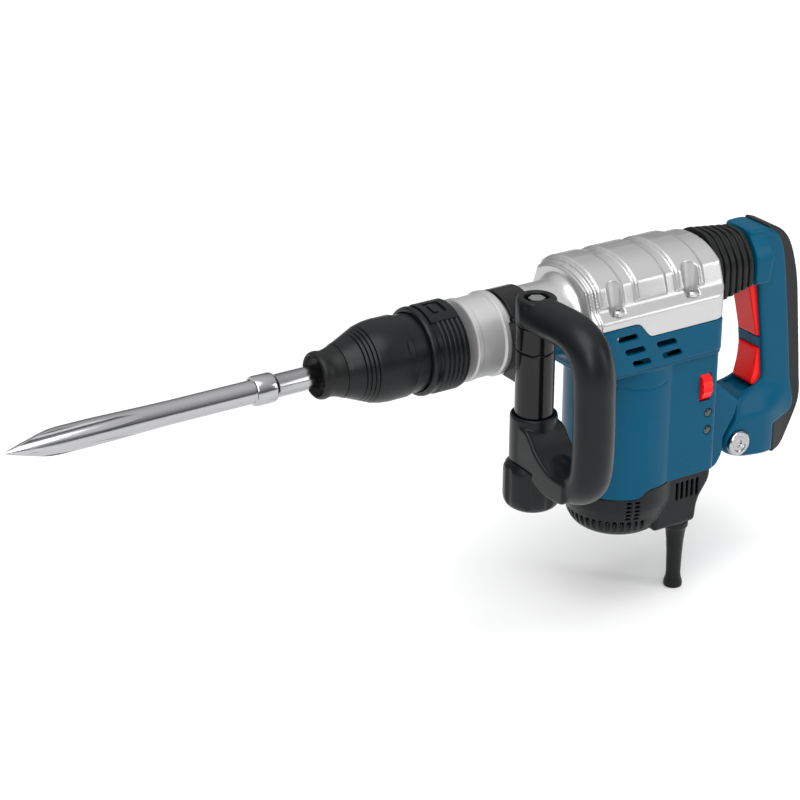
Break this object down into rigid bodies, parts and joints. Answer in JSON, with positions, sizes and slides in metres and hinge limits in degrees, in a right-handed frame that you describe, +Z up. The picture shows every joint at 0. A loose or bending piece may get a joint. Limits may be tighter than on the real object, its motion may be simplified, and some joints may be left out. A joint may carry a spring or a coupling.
{
  "type": "demolition hammer",
  "caption": "Electric demolition hammer with a pointed chisel in a quick-release holder, a clamped D-shaped side handle and a spring-damped rear handle with trigger.",
  "frame": {"origin": "bottom centre of the bounding box", "axes": "+X from the chisel tip towards the rear handle along the tool axis, +Z up, the auxiliary handle on the -Y side"},
  "size_m": [0.7144, 0.195, 0.3172],
  "materials": {
    "polished_steel": "polished tool steel",
    "steel": "machined steel",
    "dark_steel": "dark machined steel",
    "silver_paint": "satin silver-grey paint",
    "aluminium": "turned aluminium",
    "black_plastic": "fine-grained black plastic",
    "gloss_black": "smooth black plastic",
    "grey_rubber": "soft dark grey rubber",
    "black_rubber": "black rubber",
    "blue_plastic": "satin petrol-blue plastic",
    "red_plastic": "smooth red plastic",
    "cream_plastic": "cream plastic",
    "copper": "copper",
    "brass": "brass",
    "carbon": "pressed carbon",
    "lens": "dark clear lens",
    "board": "potted circuit board"
  },
  "bodies": {
    "machine": {"gear_housing": "silver_paint", "neck_collar": "aluminium", "cylinder": "steel", "motor_housing": "blue_plastic", "end_cap": "black_plastic", "cable_sleeve": "black_rubber", "control_module": "board", "indicator_light_1": "lens", "indicator_light_2": "lens", "housing_screw_1": "steel", "housing_screw_2": "steel", "housing_screw_3": "steel", "housing_screw_4": "steel", "crank_bearing": "steel", "upper_bearing": "steel", "lower_bearing": "steel", "stator_core": "dark_steel", "field_winding_front": "copper", "field_winding_rear": "copper", "brush_holder_left": "brass", "brush_holder_right": "brass", "carbon_brush_left": "carbon", "carbon_brush_right": "carbon", "pivot_bolt": "steel", "pivot_cap_left": "polished_steel", "pivot_cap_right": "polished_steel", "bellows": "black_rubber", "damper_spring": "steel"},
    "tool_holder": {"tool_holder": "steel", "dust_cap": "black_rubber", "sleeve_spring": "steel"},
    "locking_sleeve": {"locking_sleeve": "black_plastic"},
    "lock_roller_top": {"lock_roller_top": "steel"},
    "lock_roller_bottom": {"lock_roller_bottom": "steel"},
    "adjuster_ring": {"adjuster_ring": "black_plastic"},
    "chisel": {"chisel": "polished_steel"},
    "beat_piece": {"beat_piece": "steel"},
    "striker": {"striker": "steel"},
    "piston": {"piston": "aluminium", "wrist_pin": "steel"},
    "conrod": {"conrod": "dark_steel"},
    "crank": {"crank_gear": "dark_steel"},
    "armature": {"armature_shaft": "steel", "armature_core": "dark_steel", "commutator": "copper", "motor_fan": "black_plastic"},
    "speed_wheel": {"speed_wheel": "red_plastic"},
    "clamp": {"clamp_band": "gloss_black"},
    "aux_handle": {"aux_handle": "black_plastic", "handle_bolt": "steel", "handle_nut": "steel"},
    "clamp_knob": {"clamp_knob": "black_plastic"},
    "rear_handle": {"handle_shell_left": "blue_plastic", "handle_shell_right": "blue_plastic", "soft_grip": "grey_rubber", "switch_block": "cream_plastic"},
    "trigger": {"trigger": "red_plastic"},
    "lock_button": {"lock_button": "red_plastic"}
  },
  "joints": [
    {"name": "tool_index", "type": "hinge", "parent": "machine", "child": "tool_holder", "pos_m": [0.00775, 0.04748, 0.266], "axis": [1, 0, 0], "continuous": true},
    {"name": "sleeve_pull", "type": "slide", "parent": "tool_holder", "child": "locking_sleeve", "axis": [1, 0, 0], "range_m": [0, 0.012], "stiffness_N_per_m": 2500, "springref_m": -0.008, "deforming": ["sleeve_spring"]},
    {"name": "roller_top_lift", "type": "slide", "parent": "tool_holder", "child": "lock_roller_top", "axis": [0, 0, 1], "range_m": [0, 0.0026]},
    {"name": "roller_bottom_lift", "type": "slide", "parent": "tool_holder", "child": "lock_roller_bottom", "axis": [0, 0, -1], "range_m": [0, 0.0026]},
    {"name": "adjuster_pull", "type": "slide", "parent": "tool_holder", "child": "adjuster_ring", "axis": [1, 0, 0], "range_m": [0, 0.004], "stiffness_N_per_m": 2500, "springref_m": -0.004},
    {"name": "chisel_play", "type": "slide", "parent": "tool_holder", "child": "chisel", "axis": [-1, 0, 0], "range_m": [0, 0.018]},
    {"name": "beat_piece_travel", "type": "slide", "parent": "machine", "child": "beat_piece", "axis": [-1, 0, 0], "range_m": [0, 0.009]},
    {"name": "striker_travel", "type": "slide", "parent": "machine", "child": "striker", "axis": [1, 0, 0], "range_m": [0, 0.012]},
    {"name": "piston_stroke", "type": "slide", "parent": "machine", "child": "piston", "axis": [1, 0, 0], "range_m": [-0.015, 0.011]},
    {"name": "conrod_swing", "type": "hinge", "parent": "piston", "child": "conrod", "pos_m": [0.09971, 0.04748, 0.266], "axis": [0, 0, 1], "range_deg": [-34.4, 0]},
    {"name": "armature_spin", "type": "hinge", "parent": "machine", "child": "armature", "pos_m": [0.17775, 0.04748, 0.266], "axis": [0, 0, 1], "continuous": true},
    {"name": "crank_spin", "type": "hinge", "parent": "machine", "child": "crank", "pos_m": [0.14175, 0.04748, 0.266], "axis": [0, 0, 1], "continuous": true},
    {"name": "speed_dial", "type": "hinge", "parent": "machine", "child": "speed_wheel", "pos_m": [0.23075, 0.01448, 0.192], "axis": [1, 0, 0], "range_deg": [-135, 135]},
    {"name": "clamp_turn", "type": "hinge", "parent": "machine", "child": "clamp", "pos_m": [0.05375, 0.04748, 0.266], "axis": [1, 0, 0], "continuous": true},
    {"name": "aux_handle_swing", "type": "hinge", "parent": "clamp", "child": "aux_handle", "pos_m": [0.05375, -0.00553, 0.266], "axis": [0, 0, 1], "range_deg": [-60, 60]},
    {"name": "knob_turn", "type": "hinge", "parent": "aux_handle", "child": "clamp_knob", "pos_m": [0.05375, -0.00553, 0.266], "axis": [0, 0, 1], "continuous": true},
    {"name": "handle_pivot", "type": "hinge", "parent": "machine", "child": "rear_handle", "pos_m": [0.28175, 0.04748, 0.123], "axis": [0, 1, 0], "range_deg": [-2.2, 1], "stiffness_Nm_per_rad": 350, "deforming": ["bellows", "damper_spring"]},
    {"name": "trigger_squeeze", "type": "hinge", "parent": "rear_handle", "child": "trigger", "pos_m": [0.31125, 0.04748, 0.217], "axis": [0, 1, 0], "range_deg": [0, 8], "stiffness_Nm_per_rad": 2, "springref_deg": -5.73},
    {"name": "lock_press", "type": "hinge", "parent": "rear_handle", "child": "lock_button", "pos_m": [0.31425, 0.04748, 0.193], "axis": [0, -1, 0], "range_deg": [0, 6], "stiffness_Nm_per_rad": 2, "springref_deg": -5.73}
  ],
  "couplings": [
    {"joint": "roller_top_lift", "follows": "sleeve_pull", "ratio": 0.21},
    {"joint": "roller_bottom_lift", "follows": "sleeve_pull", "ratio": 0.21},
    {"joint": "crank_spin", "follows": "armature_spin", "ratio": -0.2},
    {"joint": "beat_piece_travel", "follows": "chisel_play", "ratio": 0.5}
  ]
}
